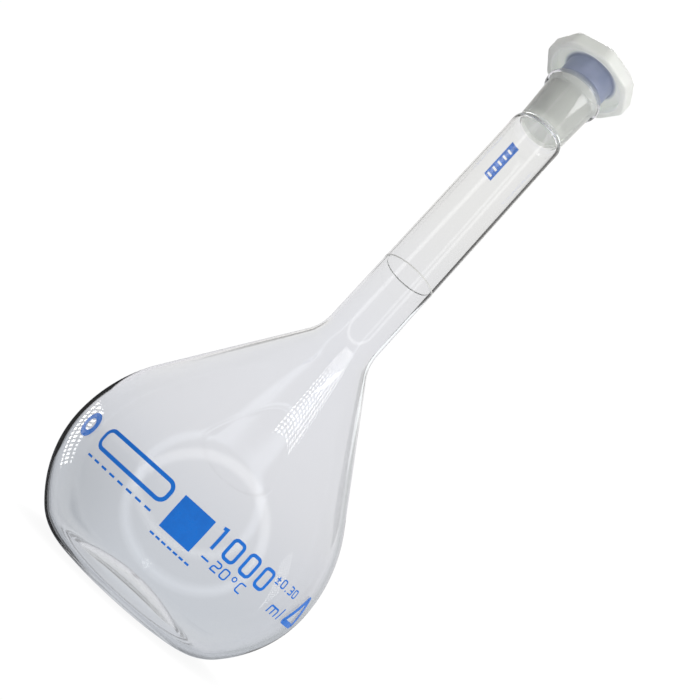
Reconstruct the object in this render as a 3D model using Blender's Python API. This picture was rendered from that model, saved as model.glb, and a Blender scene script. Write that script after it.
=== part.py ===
"""Volumetric flask, 1000 ml, wide neck, with a 24/29 ground socket and a two-piece plastic stopper.

Blender 4.5, metres, +Z up. The flask stands on its base ring at z = 0, with its axis on Z.
Every outline is a list of (radius, height) points, turned about Z.
"""
import math

import bmesh
import bpy

MM = 0.001
ROUND_STEPS = 48             # sides of every turned piece
GAP = 0.3 * MM               # clearance between neighbouring pieces

# Blown glass body
EQUATOR_RADIUS = 63.2 * MM   # widest radius of the bulb
EQUATOR_Z = 44.0 * MM
LOWER_HEIGHT = 56.0 * MM     # vertical half axis of the ellipse below the equator
UPPER_RADIUS = 65.0 * MM     # profile radius above the equator
FLANK_ANGLE = math.atan(0.64)  # lean of the bulb's straight flank from the vertical
NECK_RADIUS = 13.75 * MM
NECK_FILLET = 23.0 * MM      # concave radius where the flank meets the neck
SHOULDER_RADIUS = 5.0 * MM   # rounding at the top of the neck
BASE_RING_OUTER = 33.6 * MM  # flat ring that the flask stands on
BASE_RING_INNER = 30.6 * MM
PUNT_HEIGHT = 7.0 * MM       # how far the middle of the base is pushed up
HEEL_Z = 7.0 * MM            # where the heel's rounding meets the bulb
WALL = 1.4 * MM
BASE_WALL = 2.2 * MM

# Ground socket, a standard 24/29 cone: 24 mm at the mouth, 29 mm long, taper 1 in 10
SOCKET_BOTTOM = 280.5 * MM
SOCKET_LENGTH = 29.0 * MM    # ground length
MOUTH_Z = SOCKET_BOTTOM + SOCKET_LENGTH
MOUTH_BORE = 12.0 * MM
TAPER = 0.05                 # change of radius for each unit of height
SOCKET_WALL = 1.8 * MM
BEAD_RADIUS = 15.25 * MM     # outside of the thick rim
BEAD_DEPTH = 2.6 * MM        # half axes of the rim's elliptical profile
BEAD_HALF_HEIGHT = 3.7 * MM

# Fired enamel marks
ENAMEL = 0.2 * MM
ENAMEL_LIFT = 0.15 * MM      # space left between a mark and the faceted glass
RING_Z = 184.0 * MM          # height of the 1000 ml line
RING_WIDTH = 0.6 * MM
SQUARE_SIDE = 14.2 * MM
SQUARE_Z = 39.2 * MM
SQUARE_ANGLE = math.radians(1.0)    # angles are measured from the front, -Y, towards +X
LABEL_WIDTH = 5.4 * MM
LABEL_LENGTH = 22.0 * MM
LABEL_Z = 262.5 * MM
LABEL_ANGLE = math.radians(-161.7)

# Stopper, heights above the mouth of the socket
HEAD_BOTTOM = 7.2 * MM
HEAD_HEIGHT = 6.9 * MM
HEAD_CORNER_RADIUS = 24.2 * MM
HEAD_SIDES = 8
HEAD_CORNER_ROUND = 2.6 * MM
HEAD_EDGE_ROUND = 0.7 * MM
RECESS_RADIUS = 19.0 * MM    # round hollow under the head
RECESS_DEPTH = 4.0 * MM
COLLAR_RADIUS = 12.9 * MM
PLUG_DEPTH = 27.5 * MM       # length of the cone inside the socket
PLUG_WALL = 1.3 * MM
PLUG_FLOOR = 2.0 * MM
SEAT_RADIUS = 14.1 * MM      # counterbore for the insert's flange
SEAT_DEPTH = 1.5 * MM
BORE_RADIUS = 10.2 * MM      # round bore that the insert snaps into
BORE_DEPTH = 16.0 * MM       # length of that bore below the seat
SNAP_HEIGHT = 1.6 * MM       # snap bead and groove
SNAP_DEPTH = 0.3 * MM
SNAP_Z = 0.5 * MM            # middle of the snap bead
INSERT_WALL = 1.2 * MM


def clear_scene():
    for item in list(bpy.data.objects):
        bpy.data.objects.remove(item, do_unlink=True)


def material(name, colour, roughness, metallic=0.0, transmission=0.0, alpha=1.0):
    made = bpy.data.materials.new(name)
    made.use_nodes = True
    shader = made.node_tree.nodes["Principled BSDF"]
    shader.inputs["Base Color"].default_value = (*colour, 1.0)
    shader.inputs["Roughness"].default_value = roughness
    shader.inputs["Metallic"].default_value = metallic
    shader.inputs["Transmission Weight"].default_value = transmission
    shader.inputs["Alpha"].default_value = alpha
    made.diffuse_color = (*colour, alpha)
    return made


def arc(centre, radii, start, end, steps):
    """Points on an ellipse about centre, from angle start to end in degrees, both included."""
    points = []
    for step in range(steps + 1):
        angle = math.radians(start + (end - start) * step / steps)
        points.append((centre[0] + radii[0] * math.cos(angle), centre[1] + radii[1] * math.sin(angle)))
    return points


def finish_mesh(name, builder, finish, parent=None):
    """Turn a bmesh into a smooth-shaded object with one material."""
    bmesh.ops.recalc_face_normals(builder, faces=builder.faces)
    mesh = bpy.data.meshes.new(name)
    builder.to_mesh(mesh)
    builder.free()
    mesh.shade_smooth()
    mesh.set_sharp_from_angle(angle=math.radians(35))
    piece = bpy.data.objects.new(name, mesh)
    if finish is not None:
        piece.data.materials.append(finish)
    bpy.context.collection.objects.link(piece)
    piece.parent = parent
    return piece


def turned(name, outline, finish, parent=None, z=0.0):
    """Spin an outline about Z. It is closed on itself unless both its ends lie on the axis."""
    builder = bmesh.new()
    corners = [builder.verts.new((radius, 0.0, height)) for radius, height in outline]
    edges = [builder.edges.new(pair) for pair in zip(corners, corners[1:])]
    if outline[0][0] > 0.0:
        edges.append(builder.edges.new((corners[-1], corners[0])))
    bmesh.ops.spin(
        builder,
        geom=corners + edges,
        axis=(0.0, 0.0, 1.0),
        cent=(0.0, 0.0, 0.0),
        angle=2.0 * math.pi,
        steps=ROUND_STEPS,
        use_merge=True,
    )
    bmesh.ops.remove_doubles(builder, verts=builder.verts, dist=0.001 * MM)
    piece = finish_mesh(name, builder, finish, parent)
    piece.location.z = z
    return piece


def lower_bulb_radius(height):
    """Outside radius of the bulb between its heel and its equator."""
    drop = (height - EQUATOR_Z) / LOWER_HEIGHT
    return EQUATOR_RADIUS * math.sqrt(1.0 - drop * drop)


def upper_bulb_radius(height):
    """Outside radius of the bulb's round part above its equator."""
    centre = EQUATOR_RADIUS - UPPER_RADIUS
    return centre + math.sqrt(UPPER_RADIUS ** 2 - (height - EQUATOR_Z) ** 2)


def socket_bore(height):
    """Radius of the ground cone at a height."""
    return MOUTH_BORE - (MOUTH_Z - height) * TAPER


def base_outline():
    """Outside of the pushed-up base and its standing ring, from the middle outwards."""
    step = 0.6 * MM
    edge = BASE_RING_INNER - step
    sag = PUNT_HEIGHT - step
    cap_radius = (edge ** 2 + sag ** 2) / (2.0 * sag)
    half_angle = math.degrees(math.asin(edge / cap_radius))
    centre = (0.0, PUNT_HEIGHT - cap_radius)
    cap = arc(centre, (cap_radius, cap_radius), 90.0, 90.0 - half_angle, 5)
    ring = [(BASE_RING_INNER, 0.0), (BASE_RING_OUTER, 0.0)]
    return [(0.0, PUNT_HEIGHT)] + cap[1:] + ring


def heel_outline():
    """Round heel from just outside the standing ring, tangent to the bulb's ellipse at HEEL_Z."""
    radius = lower_bulb_radius(HEEL_Z)
    run = (EQUATOR_Z - HEEL_Z) / LOWER_HEIGHT ** 2
    rise = radius / EQUATOR_RADIUS ** 2
    slope = math.atan2(rise, run)
    heel = HEEL_Z / (1.0 - math.cos(slope))
    centre = (radius - heel * math.sin(slope), heel)
    start = math.degrees(math.asin((BASE_RING_OUTER + 0.8 * MM - centre[0]) / heel))
    return arc(centre, (heel, heel), start - 90.0, math.degrees(slope) - 90.0, 4)


def body_outline():
    """Outside of the blown glass, from the middle of the base to the socket's seam."""
    heel_end = -math.degrees(math.asin((EQUATOR_Z - HEEL_Z) / LOWER_HEIGHT))
    lower = arc((0.0, EQUATOR_Z), (EQUATOR_RADIUS, LOWER_HEIGHT), heel_end, 0.0, 6)
    flank = math.degrees(FLANK_ANGLE)
    upper_centre = (EQUATOR_RADIUS - UPPER_RADIUS, EQUATOR_Z)
    upper = arc(upper_centre, (UPPER_RADIUS, UPPER_RADIUS), 0.0, flank, 6)
    fillet_bottom_radius = NECK_RADIUS + NECK_FILLET * (1.0 - math.cos(FLANK_ANGLE))
    flank_height = (upper[-1][0] - fillet_bottom_radius) / math.tan(FLANK_ANGLE)
    fillet_z = upper[-1][1] + flank_height + NECK_FILLET * math.sin(FLANK_ANGLE)
    fillet_centre = (NECK_RADIUS + NECK_FILLET, fillet_z)
    fillet = arc(fillet_centre, (NECK_FILLET, NECK_FILLET), 180.0 + flank, 180.0, 4)
    seam_radius = socket_bore(SOCKET_BOTTOM) + SOCKET_WALL
    shoulder_angle = math.acos(1.0 - (NECK_RADIUS - seam_radius) / SHOULDER_RADIUS)
    shoulder_z = SOCKET_BOTTOM - SHOULDER_RADIUS * math.sin(shoulder_angle)
    shoulder_centre = (NECK_RADIUS - SHOULDER_RADIUS, shoulder_z)
    shoulder_radii = (SHOULDER_RADIUS, SHOULDER_RADIUS)
    shoulder = arc(shoulder_centre, shoulder_radii, 0.0, math.degrees(shoulder_angle), 3)
    return base_outline() + heel_outline() + lower[1:] + upper[1:] + fillet + shoulder


def body_wall(height):
    """Glass thickness at a height: thick in the base, even above the equator."""
    if height >= EQUATOR_Z:
        return WALL
    return BASE_WALL + (WALL - BASE_WALL) * height / EQUATOR_Z


def inner_outline(outer):
    """Inside of the blown glass: the outside moved in by the wall, from the seam down to the axis."""
    inner = []
    for index in range(1, len(outer) - 1):
        before = outer[index - 1]
        point = outer[index]
        after = outer[index + 1]
        along = (after[0] - before[0], after[1] - before[1])
        length = math.hypot(*along)
        wall = body_wall(point[1])
        inner.append((point[0] - along[1] / length * wall, point[1] + along[0] / length * wall))
    inner = [point for point in inner if point[1] < SOCKET_BOTTOM - SHOULDER_RADIUS]
    inner.insert(0, (0.0, outer[0][1] + BASE_WALL))
    throat = (socket_bore(SOCKET_BOTTOM), SOCKET_BOTTOM)
    inner.append((NECK_RADIUS - WALL, SOCKET_BOTTOM - SHOULDER_RADIUS))
    inner.append((NECK_RADIUS - WALL - 0.6 * MM, SOCKET_BOTTOM - 2.2 * MM))
    inner.append(throat)
    return list(reversed(inner))


def make_glass_body(glass):
    outer = body_outline()
    return turned("glass_body", outer + inner_outline(outer), glass)


def make_socket(glass):
    """Ground cone with the thick rounded rim, standing on the body's seam."""
    bottom = GAP
    top = SOCKET_LENGTH + 0.5 * MM
    bore_bottom = socket_bore(SOCKET_BOTTOM + bottom)
    bead_centre = (BEAD_RADIUS - BEAD_DEPTH, top - BEAD_HALF_HEIGHT)
    below_bead = top - 2.0 * BEAD_HALF_HEIGHT - 0.6 * MM
    outline = [(bore_bottom, bottom), (bore_bottom + SOCKET_WALL, bottom)]
    outline.append((socket_bore(SOCKET_BOTTOM + below_bead) + SOCKET_WALL, below_bead))
    outline += arc(bead_centre, (BEAD_DEPTH, BEAD_HALF_HEIGHT), -56.0, 90.0, 9)
    outline.append((MOUTH_BORE, SOCKET_LENGTH))
    return turned("ground_socket", outline, glass, z=SOCKET_BOTTOM)


def make_graduation_ring(enamel):
    inner = NECK_RADIUS + ENAMEL_LIFT
    outer = inner + ENAMEL
    half = RING_WIDTH / 2.0
    outline = [(inner, -half), (outer, -half), (outer, half), (inner, half)]
    return turned("graduation_ring", outline, enamel, z=RING_Z)


def make_patch(name, enamel, radius_at, middle_z, middle_angle, width, height, columns, rows):
    """A thin plate bent round the glass. radius_at gives the glass radius at a height."""
    builder = bmesh.new()
    middle_radius = radius_at(middle_z)
    skins = []
    for lift in (ENAMEL_LIFT, ENAMEL_LIFT + ENAMEL):
        grid = []
        for row in range(rows + 1):
            z = middle_z + height * (row / rows - 0.5)
            radius = radius_at(z) + lift
            line = []
            for column in range(columns + 1):
                angle = middle_angle + width / middle_radius * (column / columns - 0.5)
                place = (radius * math.sin(angle), -radius * math.cos(angle), z)
                line.append(builder.verts.new(place))
            grid.append(line)
        for low, high in zip(grid, grid[1:]):
            for column in range(columns):
                builder.faces.new((low[column], low[column + 1], high[column + 1], high[column]))
        skins.append(grid)
    rims = []
    for grid in skins:
        right = [line[-1] for line in grid[1:-1]]
        left = [line[0] for line in grid[1:-1]]
        rims.append(grid[0] + right + list(reversed(grid[-1])) + list(reversed(left)))
    inside, outside = rims
    for index in range(len(inside)):
        following = (index + 1) % len(inside)
        corner = (inside[index], inside[following], outside[following], outside[index])
        builder.faces.new(corner)
    return finish_mesh(name, builder, enamel)


def bulb_radius(height):
    if height < EQUATOR_Z:
        return lower_bulb_radius(height)
    return upper_bulb_radius(height)


def neck_radius(height):
    return NECK_RADIUS


def make_marks(blue, white):
    make_graduation_ring(white)
    square = (SQUARE_Z, SQUARE_ANGLE, SQUARE_SIDE, SQUARE_SIDE)
    make_patch("capacity_square", blue, bulb_radius, *square, columns=4, rows=4)
    label = (LABEL_Z, LABEL_ANGLE, LABEL_WIDTH, LABEL_LENGTH)
    make_patch("neck_label", blue, neck_radius, *label, columns=4, rows=1)


def make_head(finish, parent):
    """Octagonal head, a corner on each of X and Y, with rounded corners and edges."""
    builder = bmesh.new()
    bmesh.ops.create_circle(builder, cap_ends=True, segments=HEAD_SIDES, radius=HEAD_CORNER_RADIUS)
    base = builder.faces[:]
    raised = bmesh.ops.extrude_face_region(builder, geom=base)
    lifted = [item for item in raised["geom"] if isinstance(item, bmesh.types.BMVert)]
    bmesh.ops.translate(builder, vec=(0.0, 0.0, HEAD_HEIGHT), verts=lifted)
    uprights = [edge for edge in builder.edges if abs(edge.verts[0].co.z - edge.verts[1].co.z) > MM]
    bmesh.ops.bevel(
        builder, geom=uprights, offset=HEAD_CORNER_ROUND, segments=3, affect="EDGES", profile=0.5
    )
    rims = [edge for edge in builder.edges if abs(edge.verts[0].co.z - edge.verts[1].co.z) < 0.1 * MM]
    bmesh.ops.bevel(
        builder, geom=rims, offset=HEAD_EDGE_ROUND, segments=2, affect="EDGES", profile=0.5
    )
    head = finish_mesh("stopper_shell", builder, finish, parent)
    head.location.z = HEAD_BOTTOM
    return head


def plug_outline():
    """Solid cone and collar that the head is joined to, heights above the mouth."""
    tip = -PLUG_DEPTH
    tip_radius = MOUTH_BORE - GAP + tip * TAPER
    top_radius = MOUTH_BORE - GAP
    roof = HEAD_BOTTOM + RECESS_DEPTH
    blend = 0.8 * MM
    outline = [(0.0, tip)]
    outline.append((tip_radius - blend, tip))
    outline.append((tip_radius, tip + blend))
    outline.append((top_radius, 0.0))
    outline.append((COLLAR_RADIUS, 1.4 * MM))
    outline.append((COLLAR_RADIUS, roof - blend))
    outline.append((COLLAR_RADIUS + blend + 0.2 * MM, roof + 0.2 * MM))
    outline.append((COLLAR_RADIUS, roof + 1.0 * MM))
    outline.append((0.0, roof + 1.0 * MM))
    return outline


def recess_outline():
    """Round hollow under the head, with a little draft and a blended roof."""
    roof = HEAD_BOTTOM + RECESS_DEPTH
    below = HEAD_BOTTOM - 1.0 * MM
    draft = 0.4 * MM
    blend = 0.8 * MM
    outline = [(0.0, below), (RECESS_RADIUS + draft, below)]
    outline.append((RECESS_RADIUS, roof - blend))
    outline.append((RECESS_RADIUS - blend, roof))
    outline.append((0.0, roof))
    return outline


def hollow_outline():
    """Inside of the plug: cone, bore with its snap groove, and the seat for the flange."""
    head_top = HEAD_BOTTOM + HEAD_HEIGHT
    seat = head_top - SEAT_DEPTH
    floor = -PLUG_DEPTH + PLUG_FLOOR
    bore_end = seat - BORE_DEPTH
    floor_radius = MOUTH_BORE - GAP + floor * TAPER - PLUG_WALL
    groove = SNAP_HEIGHT / 2.0 + GAP
    outline = [(0.0, floor), (floor_radius, floor)]
    outline.append((BORE_RADIUS - 0.2 * MM, bore_end - 1.0 * MM))
    outline.append((BORE_RADIUS, bore_end))
    outline.append((BORE_RADIUS, SNAP_Z - groove))
    outline.append((BORE_RADIUS + SNAP_DEPTH, SNAP_Z - groove + SNAP_DEPTH))
    outline.append((BORE_RADIUS + SNAP_DEPTH, SNAP_Z + groove - SNAP_DEPTH))
    outline.append((BORE_RADIUS, SNAP_Z + groove))
    outline.append((BORE_RADIUS, seat))
    outline.append((SEAT_RADIUS, seat))
    outline.append((SEAT_RADIUS, head_top + 1.0 * MM))
    outline.append((0.0, head_top + 1.0 * MM))
    return outline


def combine(target, tool, operation):
    step = target.modifiers.new(tool.name, "BOOLEAN")
    step.operation = operation
    step.object = tool
    step.solver = "EXACT"
    tool.hide_render = True
    tool.display_type = "WIRE"


def make_stopper_shell(plastic, axis):
    shell = make_head(plastic, axis)
    combine(shell, turned("recess_guide", recess_outline(), None, axis), "DIFFERENCE")
    combine(shell, turned("plug_guide", plug_outline(), None, axis), "UNION")
    combine(shell, turned("hollow_guide", hollow_outline(), None, axis), "DIFFERENCE")
    return shell


def make_stopper_insert(plastic, axis):
    """Cap that closes the hollow plug: flange on top, tube with a snap bead below."""
    top = HEAD_BOTTOM + HEAD_HEIGHT - 0.1 * MM
    flange_bottom = HEAD_BOTTOM + HEAD_HEIGHT - SEAT_DEPTH + GAP
    flange_radius = SEAT_RADIUS - GAP
    tube = BORE_RADIUS - GAP
    end = flange_bottom - BORE_DEPTH + 1.0 * MM
    half = SNAP_HEIGHT / 2.0
    inside = tube - INSERT_WALL
    outline = [(0.0, top), (flange_radius - 0.4 * MM, top)]
    outline.append((flange_radius, top - 0.4 * MM))
    outline.append((flange_radius, flange_bottom))
    outline.append((tube, flange_bottom))
    outline.append((tube, SNAP_Z + half))
    outline.append((tube + SNAP_DEPTH, SNAP_Z + half - SNAP_DEPTH))
    outline.append((tube + SNAP_DEPTH, SNAP_Z - half + SNAP_DEPTH))
    outline.append((tube, SNAP_Z - half))
    outline.append((tube, end + 0.4 * MM))
    outline.append((tube - 0.4 * MM, end))
    outline.append((inside, end))
    outline.append((inside, flange_bottom - 0.3 * MM))
    outline.append((0.0, flange_bottom - 0.3 * MM))
    return turned("stopper_insert", outline, plastic, axis)


def main():
    clear_scene()
    glass = material("borosilicate_glass", (0.86, 0.90, 0.91), 0.02, transmission=0.9, alpha=0.35)
    ground = material("ground_glass", (0.68, 0.71, 0.70), 0.45, transmission=0.6, alpha=0.6)
    blue = material("blue_enamel", (0.01, 0.15, 0.62), 0.35)
    white = material("white_enamel", (0.85, 0.84, 0.82), 0.4)
    shell_plastic = material("natural_polypropylene", (0.82, 0.84, 0.81), 0.45)
    insert_plastic = material("blue_plastic", (0.10, 0.16, 0.50), 0.4)
    stopper_axis = bpy.data.objects.new("stopper_axis", None)
    bpy.context.collection.objects.link(stopper_axis)
    stopper_axis.location.z = MOUTH_Z
    make_glass_body(glass)
    make_socket(ground)
    make_marks(blue, white)
    make_stopper_shell(shell_plastic, stopper_axis)
    make_stopper_insert(insert_plastic, stopper_axis)


main()
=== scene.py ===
"""Volumetric flask, 1000 ml, with its plastic stopper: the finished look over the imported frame."""
import math

import bmesh
import bpy
from mathutils import Matrix, Vector


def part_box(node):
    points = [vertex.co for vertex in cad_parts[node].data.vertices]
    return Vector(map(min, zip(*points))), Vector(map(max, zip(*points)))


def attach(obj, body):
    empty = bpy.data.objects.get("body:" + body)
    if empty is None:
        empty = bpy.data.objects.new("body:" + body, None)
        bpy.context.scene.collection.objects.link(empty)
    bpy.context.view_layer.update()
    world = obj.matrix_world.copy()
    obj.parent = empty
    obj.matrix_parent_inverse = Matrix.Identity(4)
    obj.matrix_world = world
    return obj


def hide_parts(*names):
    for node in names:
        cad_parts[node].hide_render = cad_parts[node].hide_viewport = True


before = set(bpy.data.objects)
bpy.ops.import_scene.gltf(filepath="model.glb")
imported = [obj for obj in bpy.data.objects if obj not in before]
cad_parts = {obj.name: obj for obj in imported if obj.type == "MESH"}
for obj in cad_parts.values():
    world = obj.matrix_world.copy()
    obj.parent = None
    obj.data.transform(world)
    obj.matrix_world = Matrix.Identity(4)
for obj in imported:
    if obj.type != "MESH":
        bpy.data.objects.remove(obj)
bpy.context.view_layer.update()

MM = 0.001
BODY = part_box("glass_body")
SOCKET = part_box("ground_socket")
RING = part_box("graduation_ring")
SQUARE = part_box("capacity_square")
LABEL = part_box("neck_label")
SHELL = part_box("stopper_shell")
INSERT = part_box("stopper_insert")

SIDES = 192                     # sides of the turned glass
HEAD_SIDES = 256                # sides of the stopper's moulding, whose head is an octagon
CAP_SIDES = 128
WELD = 0.0005 * MM              # points closer than this are one point
LIFT = 0.03 * MM                # enamel stands this far off the glass
ENAMEL = 0.05 * MM              # thickness of the enamel
PRINT_STEP = 1.0 * MM           # filled marks follow the glass in steps of this size
PEN_STEP = 0.8 * MM             # drawn lines follow the glass in steps of this size
FILLET_STEPS = 6
MITRE_LIMIT = 0.4               # least cosine at a sharp corner of a drawn line

# Bulb, base and neck
EQUATOR_RADIUS = BODY[1].x
EQUATOR_Z = 44.0 * MM
LOWER_HEIGHT = 56.0 * MM        # of the ellipse below the equator, which the heel cuts short
UPPER_RADIUS = 65.0 * MM        # of the arc above the equator
FLANK_ANGLE = math.atan(0.64)
NECK_RADIUS = 13.75 * MM
NECK_FILLET = 23.0 * MM
SHOULDER_RADIUS = 5.0 * MM      # of the round between neck and socket
RING_OUTER = 33.6 * MM
RING_INNER = 30.6 * MM
RING_ROUND = 0.6 * MM           # height of the standing ring's round
HEEL_START = RING_OUTER + 0.9 * MM
HEEL_Z = 7.0 * MM
PUNT_HEIGHT = 7.0 * MM
WALL = 1.4 * MM
BASE_WALL = 2.2 * MM
FOOT_REACH = 3.0 * MM           # the inside runs straight over the ring, from this far on each side
FOOT_HEIGHT = 2.0 * MM

# Socket
SEAM_Z = BODY[1].z
MOUTH_Z = SEAM_Z + 29.0 * MM
RIM_Z = SOCKET[1].z
MOUTH_BORE = 12.0 * MM
TAPER = 0.05                    # on the radius, so 1 in 10 on the diameter
SOCKET_WALL = 1.8 * MM
BEAD_RADIUS = SOCKET[1].x
BEAD_DEPTH = 2.6 * MM
BEAD_HALF_HEIGHT = 3.7 * MM
BEAD_START = 66.0               # degrees below the bead's widest point
LIP_WIDTH = 0.35 * MM
LIP_DROP = 0.1 * MM
THROAT_STEP = 0.15 * MM
THROAT_STEP_DROP = 0.8 * MM
THROAT_WIDTH = 2.6 * MM
THROAT_HEIGHT = 3.4 * MM
THROAT_DROP = 4.6 * MM
THROAT_START = 62.0             # degrees above level

# Stopper's moulding
HEAD_TOP = SHELL[1].z
HEAD_BOTTOM = MOUTH_Z + 7.2 * MM
HEAD_REACH = 24.2 * MM          # from the axis to a corner of the octagon, before it is rounded
APOTHEM = HEAD_REACH * math.cos(math.pi / 8.0)
CORNER_ROUND = 2.6 * MM / math.tan(math.pi / 8.0)
EDGE_ROUND = 0.8 * MM
RECESS_RADIUS = 19.0 * MM
RECESS_ROOF = HEAD_BOTTOM + 4.0 * MM
RECESS_BLEND = 1.0 * MM         # round between the collar and the recess's roof
RECESS_ROUND = 0.8 * MM
RECESS_LIP = 0.35 * MM
RECESS_DRAFT = 0.4 * MM
COLLAR_RADIUS = 12.9 * MM
COLLAR_RISE = 1.4 * MM          # the plug widens to the collar over this height
PLUG_TIP = SHELL[0].z
PLUG_GAP = 0.3 * MM             # between plug and socket
PLUG_WALL = 1.3 * MM
TIP_ROUND = 0.8 * MM
TIP_WALL = 2.0 * MM
TIP_FLAT = 0.6                  # share of the tip's radius
SEAT_RADIUS = 14.1 * MM
SEAT_DEPTH = 1.5 * MM
SEAT_BEVEL = 0.3 * MM
BORE_RADIUS = 10.2 * MM
BORE_DEPTH = 16.0 * MM          # below the seat
BORE_STEP = 0.2 * MM
BORE_STEP_DROP = 1.0 * MM

# Stopper's cap
CAP_GAP = 0.3 * MM              # between cap and moulding
CAP_FLANGE = 1.2 * MM
CAP_ROUND = 0.4 * MM
CAP_WALL = 1.2 * MM
CAP_ROOF = 0.3 * MM             # the cap's roof reaches this far below its flange
DISH_RADIUS = 8.6 * MM
DISH_DEPTH = 0.5 * MM

WHITE = (1.0, 1.0, 1.0)
WHITE_LEVEL = 1.02              # strength that the camera sees as white
BLACK_CARD = 0.03               # strength
SURFACES_OF_A_WALL = 2          # light goes in and out of each
GLASS_IOR = 1.473
ENAMEL_IOR = 1.38
PLASTIC_IOR = 1.49


# ---- outlines

def arc(centre, radii, start, end, steps):
    """Points on an ellipse about centre, from angle start to end in degrees, both included."""
    points = []
    for step in range(steps + 1):
        angle = math.radians(start + (end - start) * step / steps)
        points.append((centre[0] + radii[0] * math.cos(angle), centre[1] + radii[1] * math.sin(angle)))
    return points


def line(start, end, steps):
    """Points between start and end, with start left out."""
    points = []
    for step in range(1, steps + 1):
        share = step / steps
        points.append((start[0] + (end[0] - start[0]) * share, start[1] + (end[1] - start[1]) * share))
    return points


def bulb_radius(height):
    if height < EQUATOR_Z:
        drop = (height - EQUATOR_Z) / LOWER_HEIGHT
        return EQUATOR_RADIUS * math.sqrt(1.0 - drop * drop)
    return EQUATOR_RADIUS - UPPER_RADIUS + math.sqrt(UPPER_RADIUS ** 2 - (height - EQUATOR_Z) ** 2)


def neck_radius(height):
    return NECK_RADIUS


def socket_bore(height):
    return MOUTH_BORE - (MOUTH_Z - height) * TAPER


def base_outline():
    """Outside of the pushed-up base and its rounded standing ring, from the middle outwards."""
    edge = RING_INNER - RING_ROUND
    sag = PUNT_HEIGHT - RING_ROUND
    cap_radius = (edge ** 2 + sag ** 2) / (2.0 * sag)
    half_angle = math.degrees(math.asin(edge / cap_radius))
    cap = arc((0.0, PUNT_HEIGHT - cap_radius), (cap_radius, cap_radius), 90.0, 90.0 - half_angle, 24)
    middle = (RING_INNER + RING_OUTER) / 2.0
    half = (RING_OUTER - RING_INNER) / 2.0
    ring = arc((middle, RING_ROUND), (half, RING_ROUND), 180.0, 360.0, 10)
    return cap + ring[1:]


def heel_outline():
    """Round heel from the standing ring, tangent to the bulb's ellipse at HEEL_Z."""
    radius = bulb_radius(HEEL_Z)
    run = (EQUATOR_Z - HEEL_Z) / LOWER_HEIGHT ** 2
    slope = math.atan2(radius / EQUATOR_RADIUS ** 2, run)
    heel = HEEL_Z / (1.0 - math.cos(slope))
    centre = (radius - heel * math.sin(slope), heel)
    start = math.degrees(math.asin((HEEL_START - centre[0]) / heel))
    return arc(centre, (heel, heel), start - 90.0, math.degrees(slope) - 90.0, 12)


def body_outline():
    """Outside of the blown glass, from the middle of the base up to the seam of the socket."""
    heel_end = -math.degrees(math.asin((EQUATOR_Z - HEEL_Z) / LOWER_HEIGHT))
    lower = arc((0.0, EQUATOR_Z), (EQUATOR_RADIUS, LOWER_HEIGHT), heel_end, 0.0, 24)
    flank = math.degrees(FLANK_ANGLE)
    upper = arc((EQUATOR_RADIUS - UPPER_RADIUS, EQUATOR_Z), (UPPER_RADIUS, UPPER_RADIUS), 0.0, flank, 20)
    bottom_radius = NECK_RADIUS + NECK_FILLET * (1.0 - math.cos(FLANK_ANGLE))
    rise = (upper[-1][0] - bottom_radius) / math.tan(FLANK_ANGLE)
    fillet_z = upper[-1][1] + rise + NECK_FILLET * math.sin(FLANK_ANGLE)
    fillet = arc((NECK_RADIUS + NECK_FILLET, fillet_z), (NECK_FILLET, NECK_FILLET), 180.0 + flank, 180.0, 14)
    seam_radius = socket_bore(SEAM_Z) + SOCKET_WALL
    turn = math.acos(1.0 - (NECK_RADIUS - seam_radius) / SHOULDER_RADIUS)
    shoulder_z = SEAM_Z - SHOULDER_RADIUS * math.sin(turn)
    shoulder_centre = (NECK_RADIUS - SHOULDER_RADIUS, shoulder_z)
    shoulder = arc(shoulder_centre, (SHOULDER_RADIUS, SHOULDER_RADIUS), 0.0, math.degrees(turn), 8)
    points = base_outline() + heel_outline() + lower[1:] + upper[1:]
    points += line(upper[-1], fillet[0], 16) + fillet[1:]
    points += line(fillet[-1], shoulder[0], 30) + shoulder[1:]
    return points


def offset_inside(outer):
    """Inside of the blown glass: the outside moved in by the wall, from the base to the neck's shoulder."""
    inner = []
    for before, point, after in zip(outer, outer[1:], outer[2:]):
        over_ring = RING_INNER - FOOT_REACH < point[0] < RING_OUTER + FOOT_REACH and point[1] < FOOT_HEIGHT
        if over_ring or point[1] >= SEAM_Z - SHOULDER_RADIUS:
            continue
        wall = WALL
        if point[1] < EQUATOR_Z:
            wall = BASE_WALL + (WALL - BASE_WALL) * point[1] / EQUATOR_Z
        along = (after[0] - before[0], after[1] - before[1])
        length = math.hypot(*along)
        inner.append((point[0] - along[1] / length * wall, point[1] + along[0] / length * wall))
    return inner


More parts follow.
